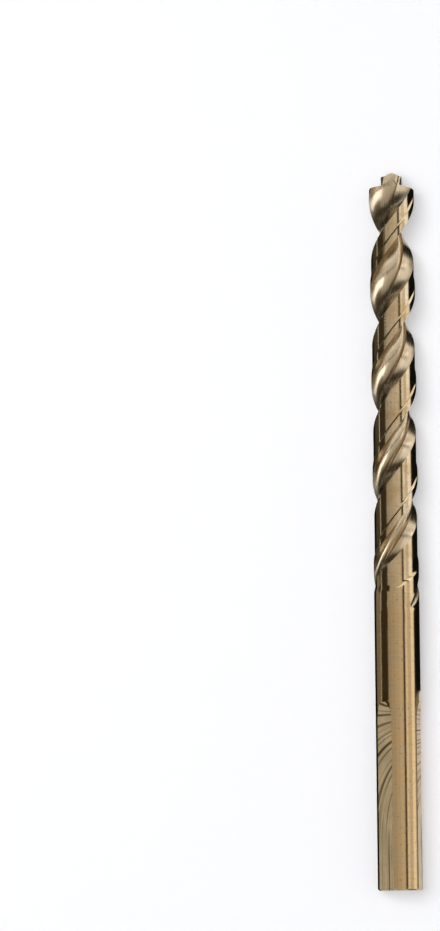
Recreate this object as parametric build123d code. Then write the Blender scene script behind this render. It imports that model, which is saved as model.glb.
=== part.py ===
from build123d import *
from math import acos, ceil, cos, degrees, radians, sin, sqrt, tan
import os

# A twist drill bit, quarter inch by four inches: two flutes, a stepped pilot point and a
# three-flat shank. It is worked out with its axis along Z, shank end at z = 0 and tip up,
# and laid along Y at the end. Lengths are in mm, angles in degrees, and "s" is a distance
# measured back from the tip.

# Blank
cut_diameter = 6.35
overall_length = 101.6
shank_chamfer = 0.2
corner_radius = 0.15

# Point: a pilot stands on two shallow shoulders, and both are relieved behind their lips
pilot_diameter = 3.0
pilot_height = 1.2
pilot_point_angle = 130.0
shoulder_point_angle = 152.0
lip_relief_angle = 11.0
notch_size = 0.42
notch_turn = 45.0
notch_lean = 32.0
notch_offset = 0.34
notch_direction = 112.0

# Flutes: the land is set out from its middle, and grows towards the shank
land_count = 2
helix_lead = 25.4
tip_land_direction = 31.6
leading_at_tip = 16.0
leading_growth = 0.75
heel_at_tip = 29.5
heel_growth = 0.47
half_web_at_tip = 0.45
web_taper = 0.0275
web_bias = 0.55
rake_hook = 8.0
rake_flat = 0.5
rake_handle = 1.0
crease_radius = 2.1
crease_from_heel = 40.0
flute_lift_start = 50.0
flute_wheel_radius = 52.0

# Body clearance, ground from the margin step to past the heel of each land
margin_width = 17.0
clearance_depth = 0.16
step_width = 7.0
step_undercut = 0.05
heel_overrun = 20.0
clearance_lift_start = 56.9
clearance_lift_travel = 4.0
clearance_wheel_radius = 36.0
margin_sweep_back = 94.0

# Shank flats
flat_count = 3
flat_depth = 0.29
flat_length = 26.4
flat_wheel_radius = 14.0
first_flat_direction = -134.4

# How the cutters are made
stations_per_turn = 12
longest_span = 14.0
fewest_stations = 8
over_travel = 2.0
cutter_reach = 1.2
lift_margin = 0.05

body_radius = cut_diameter / 2
pilot_radius = pilot_diameter / 2
clearance_radius = body_radius - clearance_depth
flute_lift = body_radius - half_web_at_tip - web_taper * flute_lift_start + lift_margin
flute_lift_travel = sqrt(2 * flute_wheel_radius * flute_lift)
cutter_span = 2 * cut_diameter
full_turn = 360.0
half_turn = full_turn / 2
quarter_turn = full_turn / 4
land_pitch = full_turn / land_count
station_spacing = helix_lead / stations_per_turn
pilot_slope = quarter_turn - pilot_point_angle / 2
shoulder_slope = quarter_turn - shoulder_point_angle / 2
pilot_point_height = pilot_radius * tan(radians(pilot_slope))
shoulder_drop = (body_radius - pilot_radius) * tan(radians(shoulder_slope))
shoulder_top = overall_length - pilot_point_height - pilot_height
corner_height = shoulder_top - shoulder_drop


def polar(radius, angle):
    return Vector(radius * cos(radians(angle)), radius * sin(radians(angle)))


def land_direction(s):
    """Direction of the middle of the first land, which turns right-handed with the lead."""
    return tip_land_direction - full_turn * s / helix_lead


def leading_edge(s):
    """Leading edge of a land, as an angle from the middle of that land."""
    return leading_at_tip + leading_growth * s


def heel_edge(s):
    """Heel of a land, as an angle back from the middle of that land."""
    return heel_at_tip + heel_growth * s


def blank():
    """Turned blank with its chamfered shank end, shoulders and pilot."""
    outline = Polyline(
        (0, 0),
        (body_radius - shank_chamfer, 0),
        (body_radius, shank_chamfer),
        (body_radius, corner_height),
        (pilot_radius, shoulder_top),
        (pilot_radius, shoulder_top + pilot_height),
        (0, overall_length),
        close=True,
    )
    section = make_face(outline)
    corner = section.vertices().sort_by_distance((body_radius, corner_height))[0]
    return revolve(Plane.XZ * fillet(corner, corner_radius), Axis.Z)


def flute_profile(s):
    """Section of a flute: rake face, hollow over the web, crease and heel relief.

    Past the start of its run-out the flute keeps its shape, and only rises out of the blank.
    """
    ground = min(s, flute_lift_start)
    leading_angle = leading_edge(ground)
    heel_angle = land_pitch - heel_edge(ground)
    crease_angle = heel_angle - crease_from_heel
    web_angle = leading_angle + web_bias * (crease_angle - leading_angle)
    middle_angle = (leading_angle + heel_angle) / 2
    leading = polar(body_radius, leading_angle)
    heel = polar(body_radius, heel_angle)
    crease = polar(crease_radius, crease_angle)
    web = polar(half_web_at_tip + web_taper * ground, web_angle)
    inward = polar(1, leading_angle + half_turn + rake_hook)
    hollow_start = leading + inward * rake_flat
    rake_control = hollow_start + inward * rake_handle
    # this control puts the middle of the curve on the web
    hollow_control = (web * 8 - hollow_start - rake_control * 3 - crease) / 3
    rake_top = leading - inward * cutter_reach
    heel_top = heel + (heel - crease).normalized() * cutter_reach
    section = make_face([
        Line(rake_top, hollow_start),
        Bezier(hollow_start, rake_control, hollow_control, crease),
        Line(crease, heel_top),
        Polyline(heel_top, polar(cut_diameter, middle_angle), rake_top),
    ])
    lift = (s - ground) ** 2 / (2 * flute_wheel_radius)
    return Pos(polar(lift, middle_angle)) * section


def clearance_profile(s):
    """Section of the body clearance, from its concave margin step to inside the next flute.

    It reaches below the ground floor, which the core then fills up again.
    """
    past = max(0.0, s - clearance_lift_start) / clearance_lift_travel
    step_angle = leading_edge(s) - margin_width - margin_sweep_back * past**2
    foot_angle = step_angle - step_width
    end_angle = -heel_edge(s) - heel_overrun
    step = polar(body_radius + clearance_depth, step_angle + step_width / 2)
    foot = polar(clearance_radius - step_undercut, foot_angle)
    step_top = polar(body_radius + cutter_reach, step_angle + step_width)
    end_foot = polar(clearance_radius - cutter_reach, end_angle)
    end_top = polar(body_radius + cutter_reach, end_angle)
    middle_angle = (foot_angle + end_angle) / 2
    return make_face([
        Line(step_top, step),
        TangentArc(foot, step, tangent=polar(1, foot_angle + quarter_turn)),
        Polyline(foot, end_foot, end_top, polar(cut_diameter, middle_angle), step_top),
    ])


def clearance_core():
    """What the clearance wheel leaves: a plain core that swells up to the shank."""
    run_out_start = overall_length - clearance_lift_start
    rise = 2 * clearance_depth
    run_out = JernArc(
        start=(clearance_radius, run_out_start),
        tangent=(0, -1),
        radius=clearance_wheel_radius,
        arc_size=degrees(acos(1 - rise / clearance_wheel_radius)),
    )
    top = overall_length + cut_diameter
    sides = Polyline(run_out @ 1, (0, (run_out @ 1).Y), (0, top), (clearance_radius, top), run_out @ 0)
    return revolve(Plane.XZ * make_face([run_out, sides]), Axis.Z)


def helical_span(profile, start, end):
    """Cutter following the helix between two distances from the tip, lofted over its stations."""
    gaps = max(fewest_stations, ceil((end - start) / station_spacing))
    sections = []
    for station in range(gaps + 1):
        s = start + (end - start) * station / gaps
        place = Pos(0, 0, overall_length - s) * Rot(0, 0, land_direction(s))
        sections.append(place * profile(s))
    return loft(sections)


def helical_cutter(profile, lift_start, lift_travel):
    """Spans of one groove, end to end: full depth from beyond the tip, then the run-out."""
    full_length = lift_start + over_travel
    count = ceil(full_length / longest_span)
    stops = [-over_travel + full_length * i / count for i in range(count + 1)]
    stops.append(lift_start + lift_travel)
    return [helical_span(profile, start, end) for start, end in zip(stops, stops[1:])]


def relief_cutter(lip_angle, slope, inner_radius, height):
    """Everything above a plane that holds a lip and falls away behind it."""
    lip = polar(cos(radians(slope)), lip_angle) - Vector(0, 0, sin(radians(slope)))
    behind = polar(cos(radians(lip_relief_angle)), lip_angle - quarter_turn)
    behind -= Vector(0, 0, sin(radians(lip_relief_angle)))
    start = polar(inner_radius, lip_angle) + Vector(0, 0, height)
    stock = Pos(0, 0, cut_diameter / 2) * Box(cutter_span, cutter_span, cut_diameter)
    return Plane(origin=start, x_dir=lip, z_dir=behind.cross(lip)) * stock


def point_cutters():
    """Lip relief of the shoulders and the pilot, and the notches that thin the web."""
    lip_at_pilot = land_direction(0) + leading_edge(0)
    lip_at_shoulder = land_direction(overall_length - shoulder_top) + leading_edge(0)
    around_pilot = Pos(0, 0, shoulder_top) * Cylinder(pilot_radius, cutter_span)
    notch = Rot(0, 0, notch_turn) * Box(notch_size, notch_size, cut_diameter)
    notch = Pos(notch_offset, 0, overall_length) * Rot(0, notch_lean, 0) * notch
    return [
        relief_cutter(lip_at_shoulder, shoulder_slope, pilot_radius, shoulder_top) - around_pilot,
        relief_cutter(lip_at_pilot, pilot_slope, 0, overall_length),
        Rot(0, 0, lip_at_pilot + notch_direction) * notch,
    ]


def flat_cutter():
    """One shank flat with the run-out of its wheel, cut from the shank end."""
    floor_radius = body_radius - flat_depth
    full_depth_end = flat_length - sqrt(2 * flat_wheel_radius * flat_depth - flat_depth**2)
    run_out = JernArc(
        start=(floor_radius, full_depth_end),
        tangent=(0, 1),
        radius=flat_wheel_radius,
        arc_size=-degrees(acos(1 - 2 * flat_depth / flat_wheel_radius)),
    )
    outer_radius = floor_radius + 2 * flat_depth
    sides = Polyline(
        run_out @ 1,
        (outer_radius, -over_travel),
        (floor_radius, -over_travel),
        run_out @ 0,
    )
    return extrude(Plane.XZ * make_face([run_out, sides]), body_radius, both=True)


def drill_bit():
    body = blank()
    core = clearance_core()
    cutters = helical_cutter(flute_profile, flute_lift_start, flute_lift_travel)
    for span in helical_cutter(clearance_profile, clearance_lift_start, clearance_lift_travel):
        cutters.append(span - core)
    cutters += point_cutters()
    for cutter in cutters:
        for land in range(land_count):
            body -= Rot(0, 0, land * land_pitch) * cutter
    for flat in range(flat_count):
        direction = first_flat_direction + flat * full_turn / flat_count
        body -= Rot(0, 0, direction) * flat_cutter()
    return Rot(-quarter_turn, 0, 0) * body


os.makedirs("parts", exist_ok=True)
export_step(drill_bit(), "parts/drill_bit.step")
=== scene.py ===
import bmesh
import bpy
import numpy as np
from math import acos, cos, radians, sin, sqrt, tan
from mathutils import Matrix, Vector


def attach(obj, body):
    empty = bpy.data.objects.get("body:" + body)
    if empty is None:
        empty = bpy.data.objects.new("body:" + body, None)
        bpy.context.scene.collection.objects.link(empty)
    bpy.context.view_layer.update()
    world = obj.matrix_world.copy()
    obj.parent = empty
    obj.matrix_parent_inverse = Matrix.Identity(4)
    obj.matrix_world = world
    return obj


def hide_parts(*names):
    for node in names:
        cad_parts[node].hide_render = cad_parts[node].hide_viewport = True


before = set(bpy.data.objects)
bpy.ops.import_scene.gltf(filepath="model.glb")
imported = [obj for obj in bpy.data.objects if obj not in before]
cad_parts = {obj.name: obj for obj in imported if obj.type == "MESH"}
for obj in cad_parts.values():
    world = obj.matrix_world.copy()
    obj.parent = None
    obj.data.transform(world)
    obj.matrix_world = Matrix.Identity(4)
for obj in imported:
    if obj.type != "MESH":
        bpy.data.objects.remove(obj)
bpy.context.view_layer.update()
mm = 0.001
scene = bpy.context.scene
scene.view_settings.view_transform = "Standard"

# the form of the bit
# millimetres and degrees; s is the distance back from the tip, angles turn with the helix
bit = {
    "radius": 3.175, "length": 101.6, "chamfer": 0.2, "cornerRadius": 0.15,
    "lead": 25.4, "tipDirection": 35.7,
    "leadingAtTip": 18.5, "leadingGrowth": 0.58,
    "heelAtTip": 25.0, "heelGrowth": 0.62,
    "webAtTip": 0.45, "webTaper": 0.0275, "webBias": 0.42,
    "rakeHook": 8.0, "rakeFlat": 0.5, "rakeHandle": 1.0, "rakeReach": 1.2,
    "creaseAtTip": 1.33, "creaseGrowth": 0.0235, "creaseFromHeel": 36.3,
    "fluteLiftStart": 50.0, "fluteWheel": 52.0,
    "marginWidth": 17.0, "stepWidth": 7.0, "stepWidening": 12.0, "clearance": 0.16,
    "clearLiftStart": 58.9, "clearWheel": 2.0,
    "sweepStart": 54.6, "sweepTravel": 5.2, "sweepBack": 40.0,
}
# how finely the mesh is made: steps along the bit, points round it, and samples of a flute's line
grid = {
    "fineStep": 0.3, "start": -1.0, "fluteEnd": 63.0, "shankStep": 3.0, "endGap": 1.0,
    "clear": 24, "step": 6, "margin": 7, "rake": 4, "hollow": 22, "heel": 12,
    "rakeSamples": 60, "hollowSamples": 160, "heelSamples": 80,
    "leastAngle": 0.01, "merge": 1e-7,
}
steelLook, fluteLook, pointLook, flatLook = range(4)  # the order of the materials on the bit


def turn(angle):
    return np.exp(1j * np.radians(angle))


def landDirection(s):
    return bit["tipDirection"] - 360 * s / bit["lead"]


def leadingEdge(s):
    return bit["leadingAtTip"] + bit["leadingGrowth"] * s


def heelEdge(s):
    return bit["heelAtTip"] + bit["heelGrowth"] * s


def fluteCurve(s):
    # the flute as a dense line: u runs -1..0 down the rake, 0..1 round the hollow, 1..2 up the heel
    ground = min(s, bit["fluteLiftStart"])
    lead = leadingEdge(ground)
    heel = 180 - heelEdge(ground)
    creaseAngle = heel - bit["creaseFromHeel"]
    webAngle = lead + bit["webBias"] * (creaseAngle - lead)
    middle = (lead + heel) / 2
    leadPoint = bit["radius"] * turn(lead)
    heelPoint = bit["radius"] * turn(heel)
    crease = (bit["creaseAtTip"] + bit["creaseGrowth"] * ground) * turn(creaseAngle)
    web = (bit["webAtTip"] + bit["webTaper"] * ground) * turn(webAngle)
    inward = turn(lead + 180 + bit["rakeHook"])
    hollowStart = leadPoint + inward * bit["rakeFlat"]
    first = hollowStart + inward * bit["rakeHandle"]
    second = (8 * web - hollowStart - 3 * first - crease) / 3
    rakeTop = leadPoint - inward * bit["rakeReach"]
    heelTop = heelPoint + (heelPoint - crease) / abs(heelPoint - crease) * bit["rakeReach"]
    u = np.concatenate([
        np.linspace(-1, 0, grid["rakeSamples"]),
        np.linspace(0, 1, grid["hollowSamples"])[1:],
        np.linspace(1, 2, grid["heelSamples"])[1:],
    ])
    t = np.clip(u, 0, 1)
    points = (1 - t) ** 3 * hollowStart + 3 * (1 - t) ** 2 * t * first
    points = points + 3 * (1 - t) * t ** 2 * second + t ** 3 * crease
    points = np.where(u < 0, hollowStart + (rakeTop - hollowStart) * -u, points)
    points = np.where(u > 1, crease + (heelTop - crease) * (u - 1), points)
    lift = (s - ground) ** 2 / (2 * bit["fluteWheel"])
    return u, points + lift * turn(middle), middle


def crossing(u, inside, radii, limit):
    # where the line first dips under the limit, between two samples
    i = int(np.argmax(inside))
    if i == 0:
        return u[0]
    share = (radii[i - 1] - limit) / (radii[i - 1] - radii[i])
    return u[i - 1] + share * (u[i] - u[i - 1])


def halfSection(s):
    # one land and the flute in front of it, as points about the axis, heel first
    past = min(max(0.0, s - bit["sweepStart"]) / bit["sweepTravel"], 1.0)
    rise = max(0.0, s - bit["clearLiftStart"]) ** 2 / (2 * bit["clearWheel"])
    floorRadius = min(bit["radius"], bit["radius"] - bit["clearance"] + rise)
    u, points, middle = fluteCurve(s)
    radii = np.abs(points)
    if radii.min() < bit["radius"]:
        uLead = crossing(u, radii < bit["radius"], radii, bit["radius"])
        uHeel = crossing(u[::-1], radii[::-1] < floorRadius, radii[::-1], floorRadius)
    else:
        uLead = uHeel = u[int(np.argmin(radii))]
    uStart, uCrease = max(0.0, uLead), min(1.0, uHeel)
    uStart = min(uStart, uHeel)
    uCrease = max(uCrease, uLead)
    stops = np.concatenate([
        np.linspace(uLead, uStart, grid["rake"], endpoint=False),
        np.linspace(uStart, uCrease, grid["hollow"], endpoint=False),
        np.linspace(uCrease, uHeel, grid["heel"], endpoint=False),
    ])
    flute = np.interp(stops, u, points.real) + 1j * np.interp(stops, u, points.imag)
    leadPoint = np.interp(uLead, u, points.real) + 1j * np.interp(uLead, u, points.imag)
    heelPoint = np.interp(uHeel, u, points.real) + 1j * np.interp(uHeel, u, points.imag)
    if radii.min() >= bit["radius"]:
        point = bit["radius"] * turn(middle)
        flute = np.full(len(stops), point)
        leadPoint = heelPoint = point
    leadAngle = np.degrees(np.angle(leadPoint))
    heelAngle = np.degrees(np.angle(heelPoint)) - 180
    step = leadingEdge(s) - bit["marginWidth"] - bit["sweepBack"] * past ** 2
    step = max(step, heelAngle + 2 * grid["leastAngle"])
    foot = max(step - bit["stepWidth"] - bit["stepWidening"] * past, heelAngle + grid["leastAngle"])
    clear = floorRadius * turn(np.linspace(heelAngle, foot, grid["clear"], endpoint=False))
    rise = np.linspace(0, 1, grid["step"], endpoint=False)
    stepPoints = (floorRadius + (bit["radius"] - floorRadius) * rise ** 2) * turn(foot + (step - foot) * rise)
    margin = bit["radius"] * turn(np.linspace(step, leadAngle, grid["margin"], endpoint=False))
    return np.concatenate([clear, stepPoints, margin, flute])


def bitMesh():
    fine = np.arange(grid["start"], grid["fluteEnd"] + 0.01, grid["fineStep"])
    coarseEnd = bit["length"] - grid["endGap"]
    coarse = np.arange(grid["fluteEnd"] + grid["shankStep"], coarseEnd, grid["shankStep"])
    stations = list(fine) + list(coarse) + [bit["length"] - bit["chamfer"], bit["length"]]
    rings = []
    for s in stations:
        half = halfSection(min(s, grid["fluteEnd"])) if s <= grid["fluteEnd"] else rings[-1][2]
        if s > bit["length"] - 0.01:
            half = half * (bit["radius"] - bit["chamfer"]) / bit["radius"]
        spin = turn(landDirection(min(s, grid["fluteEnd"])))
        ring = np.concatenate([half, -half]) * spin
        rings.append((s, ring, half))
    count = len(rings[0][1])
    verts = []
    for s, ring, half in rings:
        for p in ring:
            verts.append((p.real * mm, (bit["length"] - s) * mm, -p.imag * mm))
    faces, finish = [], []
    landCount = grid["clear"] + grid["step"] + grid["margin"]
    for k in range(len(rings) - 1):
        for i in range(count):
            j = (i + 1) % count
            faces.append((k * count + i, k * count + j, (k + 1) * count + j, (k + 1) * count + i))
            onLand = stations[k] > grid["fluteEnd"] - 1 or i % (count // 2) < landCount
            finish.append(steelLook if onLand else fluteLook)
    faces.append(tuple(range(count))[::-1])
    finish.append(pointLook)
    last = (len(rings) - 1) * count
    faces.append(tuple(last + i for i in range(count)))
    finish.append(pointLook)
    mesh = bpy.data.meshes.new("drillBit")
    mesh.from_pydata(verts, [], faces)
    mesh.polygons.foreach_set("material_index", finish)
    bm = bmesh.new()
    bm.from_mesh(mesh)
    bmesh.ops.remove_doubles(bm, verts=bm.verts, dist=grid["merge"])
    bmesh.ops.recalc_face_normals(bm, faces=bm.faces)
    bm.to_mesh(mesh)
    bm.free()
    return mesh


def addMesh(name, mesh):
    obj = bpy.data.objects.new(name, mesh)
    scene.collection.objects.link(obj)
    return obj


# shader groups, each built once and shared by the materials
def addNode(tree, kind, **settings):
    node = tree.nodes.new("ShaderNode" + kind)
    for name, value in settings.items():
        setattr(node, name, value)
    return node


def plug(tree, socket, source):
    if isinstance(source, (int, float, tuple)):
        socket.default_value = source
    else:
        tree.links.new(source, socket)


def math(tree, operation, a, b=0.0, c=0.0):
    node = addNode(tree, "Math", operation=operation)
    for socket, source in zip(node.inputs, (a, b, c)):
        plug(tree, socket, source)
    return node.outputs[0]


def mixColour(tree, factor, a, b):
    node = addNode(tree, "Mix", data_type="RGBA", blend_type="MIX")
    plug(tree, node.inputs["Factor"], factor)
    plug(tree, node.inputs[6], a)
    plug(tree, node.inputs[7], b)
    return node.outputs[2]


def mapRange(tree, value, fromLow, fromHigh, toLow, toHigh):
    node = addNode(tree, "MapRange")
    for name, source in (("Value", value), ("From Min", fromLow), ("From Max", fromHigh),
                         ("To Min", toLow), ("To Max", toHigh)):
        plug(tree, node.inputs[name], source)
    return node.outputs[0]


def newGroup(name, inputs, outputs):
    tree = bpy.data.node_groups.new(name, "ShaderNodeTree")
    for direction, sockets in (("INPUT", inputs), ("OUTPUT", outputs)):
        for socketName, kind in sockets:
            tree.interface.new_socket(socketName, in_out=direction, socket_type="NodeSocket" + kind)
    return tree, tree.nodes.new("NodeGroupInput").outputs, tree.nodes.new("NodeGroupOutput").inputs


def useGroup(tree, group, **sources):
    node = addNode(tree, "Group", node_tree=group)
    for name, source in sources.items():
        plug(tree, node.inputs[name], source)
    return node.outputs


def bitPlaces():
    # where a point lies on the bit: along it and round it in millimetres, and along its helix
    tree, given, result = newGroup("Bit Places", [], [
        ("Position", "Vector"), ("Along", "Float"), ("Around", "Float"), ("Across", "Float"),
        ("Helix", "Float")])
    coordinates = addNode(tree, "TexCoord")
    scaled = addNode(tree, "VectorMath", operation="SCALE")
    tree.links.new(coordinates.outputs["Object"], scaled.inputs[0])
    scaled.inputs["Scale"].default_value = 1 / mm
    parts = addNode(tree, "SeparateXYZ")
    tree.links.new(scaled.outputs[0], parts.inputs[0])
    angle = math(tree, "ARCTAN2", parts.outputs["X"], parts.outputs["Z"])
    tree.links.new(scaled.outputs[0], result["Position"])
    tree.links.new(parts.outputs["Y"], result["Along"])
    tree.links.new(math(tree, "MULTIPLY", angle, bit["radius"]), result["Around"])
    tree.links.new(parts.outputs["X"], result["Across"])
    turnLength = bit["lead"] / (2 * np.pi)
    helix = math(tree, "MULTIPLY_ADD", angle, -turnLength, parts.outputs["Y"])
    tree.links.new(helix, result["Helix"])
    return tree


def grindingLines():
    # uneven scratches: Across counts over them, Run goes along them
    tree, given, result = newGroup("Grinding Lines", [
        ("Across", "Float"), ("Run", "Float"), ("Spacing", "Float"), ("Length", "Float")],
        [("Lines", "Float")])
    place = addNode(tree, "CombineXYZ")
    tree.links.new(math(tree, "DIVIDE", given["Across"], given["Spacing"]), place.inputs["X"])
    tree.links.new(math(tree, "DIVIDE", given["Run"], given["Length"]), place.inputs["Y"])
    noise = addNode(tree, "TexNoise")
    noise.inputs["Scale"].default_value = 1.0
    noise.inputs["Detail"].default_value = 3.0
    noise.inputs["Roughness"].default_value = 0.6
    tree.links.new(place.outputs[0], noise.inputs["Vector"])
    tree.links.new(mapRange(tree, noise.outputs["Fac"], 0.3, 0.7, 0.0, 1.0), result["Lines"])
    return tree


def oxideTint():
    # straw oxide that lies unevenly: cloudy, with small dark specks
    tree, given, result = newGroup("Oxide Tint", [
        ("Position", "Vector"), ("Base", "Color"), ("Cloud", "Color"), ("Speck", "Color"),
        ("Lines", "Float"), ("Line Depth", "Float"), ("Specks", "Float")],
        [("Color", "Color"), ("Cover", "Float")])
    cloud = addNode(tree, "TexNoise")
    cloud.inputs["Scale"].default_value = 0.35
    cloud.inputs["Detail"].default_value = 4.0
    tree.links.new(given["Position"], cloud.inputs["Vector"])
    fine = addNode(tree, "TexNoise")
    fine.inputs["Scale"].default_value = 2.6
    fine.inputs["Detail"].default_value = 5.0
    tree.links.new(given["Position"], fine.inputs["Vector"])
    cover = mapRange(tree, cloud.outputs["Fac"], 0.35, 0.65, 0.0, 1.0)
    colour = mixColour(tree, cover, given["Base"], given["Cloud"])
    speck = math(tree, "MULTIPLY", mapRange(tree, fine.outputs["Fac"], 0.6, 0.7, 0.0, 1.0), given["Specks"])
    colour = mixColour(tree, speck, colour, given["Speck"])
    shade = math(tree, "MULTIPLY", math(tree, "SUBTRACT", 1.0, given["Lines"]), given["Line Depth"])
    colour = mixColour(tree, shade, colour, given["Speck"])
    tree.links.new(colour, result["Color"])
    tree.links.new(cover, result["Cover"])
    return tree


groups = {"places": bitPlaces(), "lines": grindingLines(), "tint": oxideTint()}


def steel(name, look):
    # one ground steel finish: its colours, the run and depth of its lines, and how sharply they start
    m = bpy.data.materials.new(name)
    m.use_nodes = True
    tree = m.node_tree
    shader = tree.nodes["Principled BSDF"]
    shader.inputs["Metallic"].default_value = look["metallic"]
    place = useGroup(tree, groups["places"])
    across, run = look["lines"](tree, place)
    lines = useGroup(tree, groups["lines"], Across=across, Run=run, Spacing=look["spacing"],
                     Length=look["length"])["Lines"]
    lines = mapRange(tree, lines, *look["ramp"], 0.0, 1.0)
    base = look["base"](tree, place) if callable(look["base"]) else (*look["base"], 1.0)
    tint = useGroup(tree, groups["tint"], **{
        "Position": place["Position"], "Base": base, "Cloud": (*look["cloud"], 1.0),
        "Speck": (*look["speck"], 1.0), "Lines": lines, "Line Depth": look["lineDepth"],
        "Specks": look["specks"]})
    tree.links.new(tint["Color"], shader.inputs["Base Color"])
    rough = mapRange(tree, lines, 0.0, 1.0, look["rough"][1], look["rough"][0])
    rough = math(tree, "MULTIPLY_ADD", tint["Cover"], oxide["rough"], rough)
    tree.links.new(rough, shader.inputs["Roughness"])
    bump = addNode(tree, "Bump")
    bump.inputs["Strength"].default_value = look["bump"]
    bump.inputs["Distance"].default_value = marks["height"]
    tree.links.new(lines, bump.inputs["Height"])
    tree.links.new(bump.outputs[0], shader.inputs["Normal"])
    return m


def roundLines(tree, place):
    return place["Along"], place["Around"]


def helixLines(tree, place):
    return place["Helix"], place["Along"]


def pointLines(tree, place):
    return math(tree, "MULTIPLY_ADD", place["Across"], marks["pointSlant"], place["Around"]), place["Along"]


def wheelLines(tree, place):
    # marks of the wheel on a flat: level at its far end, turning to run along the shank
    u = math(tree, "MAXIMUM", math(tree, "SUBTRACT", place["Along"], marks["start"]), 0.0)
    bend = math(tree, "MULTIPLY", math(tree, "POWER", u, 2.0), marks["bend"])
    slide = math(tree, "MULTIPLY", math(tree, "POWER", u, 3.0), marks["bend"] / 3)
    late = math(tree, "MULTIPLY", math(tree, "POWER", u, 7.0), marks["bend"] ** 3 / 42)
    side = math(tree, "MULTIPLY", place["Across"], math(tree, "COSINE", bend))
    return math(tree, "SUBTRACT", side, math(tree, "SUBTRACT", slide, late)), place["Along"]


def bodyColour(tree, place):
    # paler where the lands are freshly ground, straw on the shank
    share = mapRange(tree, place["Along"], shades["shankEnd"], shades["landStart"], 0.0, 1.0)
    return mixColour(tree, share, (*shades["shank"], 1.0), (*shades["land"], 1.0))


# colours and lengths in millimetres from the shank end, and the marks of the wheels
shades = {"shank": (0.66, 0.47, 0.25), "land": (0.74, 0.62, 0.44), "shankEnd": 38.0, "landStart": 48.0}
oxide = {"rough": 0.04}
marks = {"start": 4.3, "bend": 0.00384, "pointSlant": 0.8, "height": 0.00002}
looks = {
    "groundSteel": {
        "lines": roundLines, "base": bodyColour, "cloud": (0.62, 0.47, 0.28),
        "speck": (0.2, 0.14, 0.07), "specks": 0.4, "spacing": 0.16, "length": 6.0, "lineDepth": 0.16,
        "ramp": (0.0, 1.0), "rough": (0.08, 0.14), "bump": 0.2, "metallic": 1.0},
    "polishedFlute": {
        "lines": helixLines, "base": (0.64, 0.54, 0.4), "cloud": (0.6, 0.49, 0.34),
        "speck": (0.2, 0.15, 0.08), "specks": 0.12, "spacing": 0.3, "length": 9.0, "lineDepth": 0.12,
        "ramp": (0.0, 1.0), "rough": (0.18, 0.28), "bump": 0.3, "metallic": 1.0},
    "groundPoint": {
        "lines": pointLines, "base": (0.72, 0.64, 0.5), "cloud": (0.66, 0.57, 0.42),
        "speck": (0.25, 0.2, 0.12), "specks": 0.1, "spacing": 0.14, "length": 3.0, "lineDepth": 0.2,
        "ramp": (0.0, 1.0), "rough": (0.22, 0.32), "bump": 0.3, "metallic": 1.0},
    "groundFlat": {
        "lines": wheelLines, "base": (0.86, 0.67, 0.4), "cloud": (0.68, 0.53, 0.31),
        "speck": (0.06, 0.035, 0.012), "specks": 0.15, "spacing": 0.3, "length": 30.0, "lineDepth": 0.9,
        "ramp": (0.22, 0.5), "rough": (0.4, 0.55), "bump": 0.6, "metallic": 0.6},
}
finishes = [steel(name, look) for name, look in looks.items()]
print("materials made:", len(finishes))

# the ground point and the flats
point = {
    "pilotRadius": 1.5, "pilotHeight": 1.2, "pilotAngle": 130.0, "shoulderAngle": 152.0,
    "relief": 11.0, "notchSize": 0.42, "notchTurn": 45.0, "notchLean": 32.0,
    "notchOffset": 0.34, "notchDirection": 112.0, "notchReach": 3.2,
    "segments": 160, "cornerSteps": 6, "margin": 0.6, "above": 2.0, "pilotReach": 9.0,
    "wedgeSize": 13, "wedgeHeight": 6,
}
flat = {
    "count": 3, "depth": 0.29, "length": 26.4, "wheel": 14.0, "first": -134.4,
    "runOutSteps": 24, "rise": 3, "halfWidth": 3, "beyondEnd": -1.0,
}
pilotSlope = 90 - point["pilotAngle"] / 2
shoulderSlope = 90 - point["shoulderAngle"] / 2
shoulderTop = bit["length"] - point["pilotRadius"] * tan(radians(pilotSlope)) - point["pilotHeight"]


def toRow(x, y, z):
    # from the bit standing tip up to the bit lying along Y
    return Vector((x * mm, z * mm, -y * mm))


def solidFrom(name, verts, faces, finish):
    mesh = bpy.data.meshes.new(name)
    mesh.from_pydata([toRow(*v) for v in verts], [], faces)
    mesh.polygons.foreach_set("material_index", [finish] * len(faces))
    bm = bmesh.new()
    bm.from_mesh(mesh)
    bmesh.ops.recalc_face_normals(bm, faces=bm.faces)
    bm.to_mesh(mesh)
    bm.free()
    obj = addMesh(name, mesh)
    for m in finishes:
        mesh.materials.append(m)
    return obj


def turned(name, outline, finish, segments):
    # closed outline of (radius, height); a point on the axis is one vertex
    verts, rows = [], []
    for r, z in outline:
        if r == 0:
            rows.append([len(verts)] * segments)
            verts.append((0, 0, z))
        else:
            rows.append(list(range(len(verts), len(verts) + segments)))
            for k in range(segments):
                a = 2 * np.pi * k / segments
                verts.append((r * cos(a), r * sin(a), z))
    faces = []
    for a, b in zip(rows, rows[1:] + rows[:1]):
        for k in range(segments):
            n = (k + 1) % segments
            loop = []
            for v in (a[k], a[n], b[n], b[k]):
                if v not in loop:
                    loop.append(v)
            if len(loop) > 2:
                faces.append(loop)
    return solidFrom(name, verts, faces, finish)


def block(name, origin, xAxis, zAxis, size, stretch, finish):
    # box over a plane: its size across, and its stretch along the normal of the plane
    zAxis, xAxis = zAxis.normalized(), xAxis.normalized()
    yAxis = zAxis.cross(xAxis)
    verts = []
    for z in stretch:
        for x, y in ((-1, -1), (1, -1), (1, 1), (-1, 1)):
            verts.append(tuple(origin + xAxis * x * size[0] / 2 + yAxis * y * size[1] / 2 + zAxis * z))
    faces = [(0, 1, 2, 3), (4, 5, 6, 7), (0, 1, 5, 4), (1, 2, 6, 5), (2, 3, 7, 6), (3, 0, 4, 7)]
    return solidFrom(name, verts, faces, finish)


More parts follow.
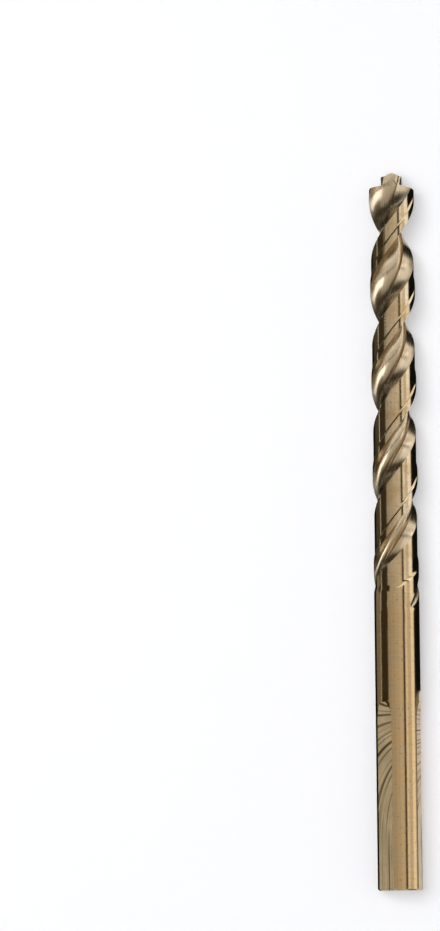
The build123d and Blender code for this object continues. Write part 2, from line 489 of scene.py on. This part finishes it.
def combine(target, tool, operation):
    cut = target.modifiers.new("cut", "BOOLEAN")
    cut.operation = operation
    cut.solver = "EXACT"
    cut.material_mode = "TRANSFER"
    cut.object = tool
    depsgraph = bpy.context.evaluated_depsgraph_get()
    mesh = bpy.data.meshes.new_from_object(target.evaluated_get(depsgraph))
    target.modifiers.clear()
    old = target.data
    target.data = mesh
    bpy.data.meshes.remove(old)
    bpy.data.objects.remove(tool)


def polar(radius, angle, z=0.0):
    return Vector((radius * cos(radians(angle)), radius * sin(radians(angle)), z))


def reliefBlock(name, lipAngle, slope, innerRadius, height):
    lip = polar(cos(radians(slope)), lipAngle, -sin(radians(slope)))
    behind = polar(cos(radians(point["relief"])), lipAngle - 90, -sin(radians(point["relief"])))
    normal = behind.cross(lip)
    size = point["wedgeSize"]
    stretch = (0, point["wedgeHeight"])
    return block(name, polar(innerRadius, lipAngle, height), lip, normal, (size, size), stretch, pointLook)


def envelopeTool():
    # what is turned away outside the pilot, the shoulders and the corner arc
    radius, r = bit["radius"], bit["cornerRadius"]
    cornerHeight = shoulderTop - (radius - point["pilotRadius"]) * tan(radians(shoulderSlope))
    centre = (radius - r, cornerHeight - r * tan(radians(45 - shoulderSlope / 2)))
    arc = []
    for k in range(point["cornerSteps"] + 1):
        a = radians(90 - shoulderSlope) * (1 - k / point["cornerSteps"])
        arc.append((centre[0] + r * cos(a), centre[1] + r * sin(a)))
    outside = radius + point["margin"]
    top = bit["length"] + point["above"]
    outline = [(0, bit["length"]), (point["pilotRadius"], shoulderTop + point["pilotHeight"]),
               (point["pilotRadius"], shoulderTop)] + arc
    outline += [(outside, arc[-1][1]), (outside, top), (0, top)]
    return turned("envelope", outline, pointLook, point["segments"])


def notchTool(direction):
    lean = radians(point["notchLean"])
    down = Vector((sin(lean), 0, cos(lean)))
    across = Vector((cos(lean), 0, -sin(lean)))
    spin = Matrix.Rotation(radians(direction), 3, "Z")
    square = Matrix.Rotation(radians(point["notchTurn"]), 3, down) @ across
    start = spin @ Vector((point["notchOffset"], 0, bit["length"]))
    size, reach = point["notchSize"], point["notchReach"]
    return block("notch", start, spin @ square, spin @ down, (size, size), (-reach, reach), pointLook)


def pointTools():
    # for each half: the relief of the shoulder outside the pilot, that of the pilot, and the notch
    tools = []
    radius, reach = point["pilotRadius"], point["pilotReach"]
    lipPilot = landDirection(0) + leadingEdge(0)
    lipShoulder = landDirection(bit["length"] - shoulderTop) + leadingEdge(0)
    low, high = shoulderTop - reach, shoulderTop + reach
    for half in (0, 180):
        wedge = reliefBlock("shoulderRelief", lipShoulder + half, shoulderSlope, radius, shoulderTop)
        outline = [(0, low), (radius, low), (radius, high), (0, high)]
        pilot = turned("pilot", outline, pointLook, point["segments"])
        combine(wedge, pilot, "DIFFERENCE")
        tools.append(wedge)
        tools.append(reliefBlock("pilotRelief", lipPilot + half, pilotSlope, 0, bit["length"]))
        tools.append(notchTool(lipPilot + point["notchDirection"] + half))
    return tools


def flatTools():
    # one flat after another, each with the run-out of its wheel
    floorRadius = bit["radius"] - flat["depth"]
    wheel, steps, end = flat["wheel"], flat["runOutSteps"], flat["beyondEnd"]
    fullEnd = flat["length"] - sqrt(2 * wheel * flat["depth"] - flat["depth"] ** 2)
    top = acos(1 - flat["rise"] * flat["depth"] / wheel)
    profile = [(floorRadius, end), (floorRadius, fullEnd)]
    for k in range(1, steps + 1):
        a = top * k / steps
        profile.append((floorRadius + wheel * (1 - cos(a)), fullEnd + wheel * sin(a)))
    profile.append((profile[-1][0], end))
    m = len(profile)
    faces = [tuple(range(m))[::-1], tuple(range(m, 2 * m))]
    faces += [(k, (k + 1) % m, m + (k + 1) % m, m + k) for k in range(m)]
    tools = []
    for n in range(flat["count"]):
        angle = flat["first"] + 360 / flat["count"] * n
        out, side = polar(1, angle), polar(1, angle + 90)
        verts = []
        for w in (-flat["halfWidth"], flat["halfWidth"]):
            for x, z in profile:
                verts.append(tuple(out * x + side * w + Vector((0, 0, z))))
        tools.append(solidFrom("flat", verts, faces, flatLook))
    return tools


body = addMesh("drillBitBody", bitMesh())
for m in finishes:
    body.data.materials.append(m)
cutter = envelopeTool()
for tool in pointTools() + flatTools():
    combine(cutter, tool, "UNION")
combine(body, cutter, "DIFFERENCE")
print("the bit is cut:", len(body.data.polygons), "faces")


sharpAngle = 22


def markSharp(mesh, limit):
    # smooth shading, with an edge kept sharp where it turns or the finish changes
    bm = bmesh.new()
    bm.from_mesh(mesh)
    for f in bm.faces:
        f.smooth = True
    for e in bm.edges:
        if len(e.link_faces) != 2:
            e.smooth = False
            continue
        a, b = e.link_faces
        differs = {a.material_index, b.material_index}
        e.smooth = e.calc_face_angle(0) < limit and len(differs) == 1
    openEdges = sum(1 for e in bm.edges if len(e.link_faces) != 2)
    bm.to_mesh(mesh)
    bm.free()
    return openEdges


print("open edges:", markSharp(body.data, radians(sharpAngle)))
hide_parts("drill_bit")
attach(body, "root")

# camera
shot = {
    "place": (-0.0256, -0.0034, 0.625), "aim": (-0.0247, 0.05997), "roll": -0.534,
    "fieldHeight": 0.13145, "sensor": 36.0,
}


def addCamera():
    place = Vector(shot["place"])
    aim = Vector((*shot["aim"], 0))
    back = (place - aim).normalized()
    roll = radians(shot["roll"])
    right = Vector((cos(roll), sin(roll), 0))
    right = (right - back * right.dot(back)).normalized()
    data = bpy.data.cameras.new("camera")
    data.sensor_width = shot["sensor"]
    data.lens = shot["sensor"] * (place - aim).length / shot["fieldHeight"]
    camera = bpy.data.objects.new("camera", data)
    scene.collection.objects.link(camera)
    axes = Matrix((right, back.cross(right), back)).transposed()
    camera.matrix_world = Matrix.LocRotScale(place, axes, None)
    scene.camera = camera


addCamera()

# floor and light
studio = {
    "floorSize": 3.0, "floorColour": (0.84, 0.85, 0.88), "world": 0.3,
    "glow": 0.3, "glowColour": (0.88, 0.92, 1.0), "aim": (0, 0.05, 0),
    "lampReach": 0.5, "paintedReflectionReach": 0.45, "shortSpan": (-0.2, 0.5), "longSpan": (-0.6, 0.7),
}
# strips of light round the bit: from and to angle, radiance and colour
overheadStrips = {
    "overheadLeft": (-51, -34, 0.17, (1.0, 0.8, 0.52)),
    "overheadMiddle": (-34, -14, 0.24, (1.0, 0.82, 0.56)),
    "overheadRight": (-14, 6, 0.33, (1.0, 0.84, 0.62)),
    "overheadEnd": (6, 27, 0.44, (1.0, 0.86, 0.7)),
}
rightStrips = {
    "rightUpper": (38, 50, 0.75, (1.0, 0.93, 0.82)),
    "rightMiddle": (50, 66, 0.48, (1.0, 0.9, 0.76)),
    "rightKey": (67, 89.5, 0.95, (1.0, 0.95, 0.88)),
}
# lamps that only the metal mirrors: place, size, radiance and colour
keyLamps = {
    "shankKey": ((0.03, -0.32, 0.44), (0.38, 0.34), 2.4, (0.98, 0.98, 1.0)),
    "tipKey": ((0.14, 0.6, 0.4), (0.7, 0.5), 0.85, (1.0, 0.96, 0.9)),
}
shadowLamp = {"angle": -19, "along": 0.08, "size": (0.24, 0.3), "radiance": 5.5}
# painted reflections, dark and grey: glowing cards that only the metal sees, round the bit by angle, and as
# lines across it with their stretch
paintedReflectionsByAngle = {
    "paintedReflectionLeft": (-90, -51, (0.05, 0.04, 0.025)),
    "paintedReflectionRightGap": (27, 38, (0.05, 0.04, 0.025)),
}
paintedReflectionsHigh = {
    "paintedReflectionShankLeft": ((-0.5, 0.42), (-0.1, 0.42), (-0.7, -0.2), (0.07, 0.055, 0.035)),
    "paintedReflectionTipLeft": ((-0.6, 0.0), (-0.3, 0.35), (0.15, 0.9), (0.02, 0.016, 0.01)),
}
# painted reflections lying just over the floor: dark and grey cards that the camera never sees, mirrored in
# the metal where the floor is white
paintedReflectionsOnFloor = {
    "paintedReflectionRightFloor": (0.0034, 0.09, (0.028, 0.15), (0.006, 0.006, 0.005)),
    "paintedReflectionRightFloorEnd": (0.0075, 0.09, (-0.05, 0.028), (0.3, 0.29, 0.27)),
    "paintedReflectionLeftNear": (-0.0075, -0.0034, (-0.05, 0.15), (0.004, 0.004, 0.004)),
    "paintedReflectionLeftFloor": (-0.09, -0.0075, (-0.05, 0.045), (0.26, 0.24, 0.2)),
    "paintedReflectionLeftFloorTip": (-0.09, -0.0075, (0.045, 0.15), (0.08, 0.07, 0.05)),
}
cardLift = 0.0001


def addPlane(name, corners, material):
    mesh = bpy.data.meshes.new(name)
    mesh.from_pydata(corners, [], [(0, 1, 2, 3)])
    obj = addMesh(name, mesh)
    mesh.materials.append(material)
    return obj


def addFloor():
    # pale floor with a soft glow of its own, so that it is white where no shadow falls
    half = studio["floorSize"] / 2
    z = -bit["radius"] * mm
    m = bpy.data.materials.new("paleFloor")
    m.use_nodes = True
    tree = m.node_tree
    shader = tree.nodes["Principled BSDF"]
    shader.inputs["Base Color"].default_value = (*studio["floorColour"], 1)
    shader.inputs["Roughness"].default_value = 0.9
    shader.inputs["Specular IOR Level"].default_value = 0.1
    path = addNode(tree, "LightPath")
    seen = math(tree, "MAXIMUM", path.outputs["Is Camera Ray"], path.outputs["Is Glossy Ray"])
    seen = math(tree, "MAXIMUM", seen, path.outputs["Is Transmission Ray"])
    shader.inputs["Emission Color"].default_value = (*studio["glowColour"], 1)
    tree.links.new(math(tree, "MULTIPLY", seen, studio["glow"]), shader.inputs["Emission Strength"])
    addPlane("floor", [(-half, -half, z), (half, -half, z), (half, half, z), (-half, half, z)], m)


def addLamp(name, place, aim, size, radiance, colour=(1, 1, 1)):
    # a lamp of even radiance, whatever its size
    data = bpy.data.lights.new(name, "AREA")
    data.shape = "RECTANGLE"
    data.size, data.size_y = size
    data.energy = radiance * np.pi * size[0] * size[1]
    data.color = colour
    lamp = bpy.data.objects.new(name, data)
    scene.collection.objects.link(lamp)
    lamp.location = place
    lamp.rotation_euler = (Vector(aim) - Vector(place)).to_track_quat("-Z", "Y").to_euler()
    lamp.visible_camera = False
    return lamp


def around(angle, reach):
    # a place round the bit, by its angle from straight up, positive to the right
    return Vector((reach * sin(radians(angle)), 0, reach * cos(radians(angle))))


def addStrip(name, span, fromAngle, toAngle, radiance, colour):
    a, b = around(fromAngle, studio["lampReach"]), around(toAngle, studio["lampReach"])
    middle = Vector((0, span[0] / 2 + span[1] / 2, 0))
    place = (a + b) / 2 + middle
    return addLamp(name, place, middle, (span[1] - span[0], (b - a).length), radiance, colour)


# the even glow of a painted reflection card, which is no lamp
def paintedReflectionMaterial(name, level):
    m = bpy.data.materials.new(name)
    m.use_nodes = True
    nodes = m.node_tree.nodes
    nodes.remove(nodes["Principled BSDF"])
    glow = nodes.new("ShaderNodeEmission")
    glow.inputs["Color"].default_value = (*level, 1)
    m.node_tree.links.new(glow.outputs[0], nodes["Material Output"].inputs["Surface"])
    return m


def addPaintedReflection(name, a, b, span, level):
    # a card that only the metal sees: a painted reflection, glowing at its own level and casting no shadow
    corners = [(a[0], span[0], a[1]), (b[0], span[0], b[1]), (b[0], span[1], b[1]), (a[0], span[1], a[1])]
    flag = addPlane(name, corners, paintedReflectionMaterial(name, level))
    flag.visible_camera = flag.visible_diffuse = flag.visible_shadow = False


addFloor()
for name, strip in overheadStrips.items():
    addStrip(name, studio["shortSpan"], *strip)
for name, strip in rightStrips.items():
    addStrip(name, studio["longSpan"], *strip).visible_diffuse = False
for name, (place, size, radiance, colour) in keyLamps.items():
    addLamp(name, place, studio["aim"], size, radiance, colour).visible_diffuse = False
shadowPlace = around(shadowLamp["angle"], studio["lampReach"]) + Vector((0, shadowLamp["along"], 0))
fromLeft = addLamp("fromLeft", shadowPlace, studio["aim"], shadowLamp["size"], shadowLamp["radiance"])
fromLeft.visible_glossy = False
# painted reflections: the cards round the bit, high over it and just over the floor
for name, (fromAngle, toAngle, level) in paintedReflectionsByAngle.items():
    a, b = around(fromAngle, studio["paintedReflectionReach"]), around(toAngle, studio["paintedReflectionReach"])
    addPaintedReflection(name, (a.x, a.z), (b.x, b.z), studio["longSpan"], level)
for name, card in paintedReflectionsHigh.items():
    addPaintedReflection(name, *card)
floorLine = -bit["radius"] * mm + cardLift
for name, (left, right, span, level) in paintedReflectionsOnFloor.items():
    addPaintedReflection(name, (left, floorLine), (right, floorLine), span, level)
print("floor, lamps and cards made")
world = bpy.data.worlds.new("studioWorld")
scene.world = world
world.use_nodes = True
world.node_tree.nodes["Background"].inputs["Color"].default_value = (1, 1, 1, 1)
world.node_tree.nodes["Background"].inputs["Strength"].default_value = studio["world"]
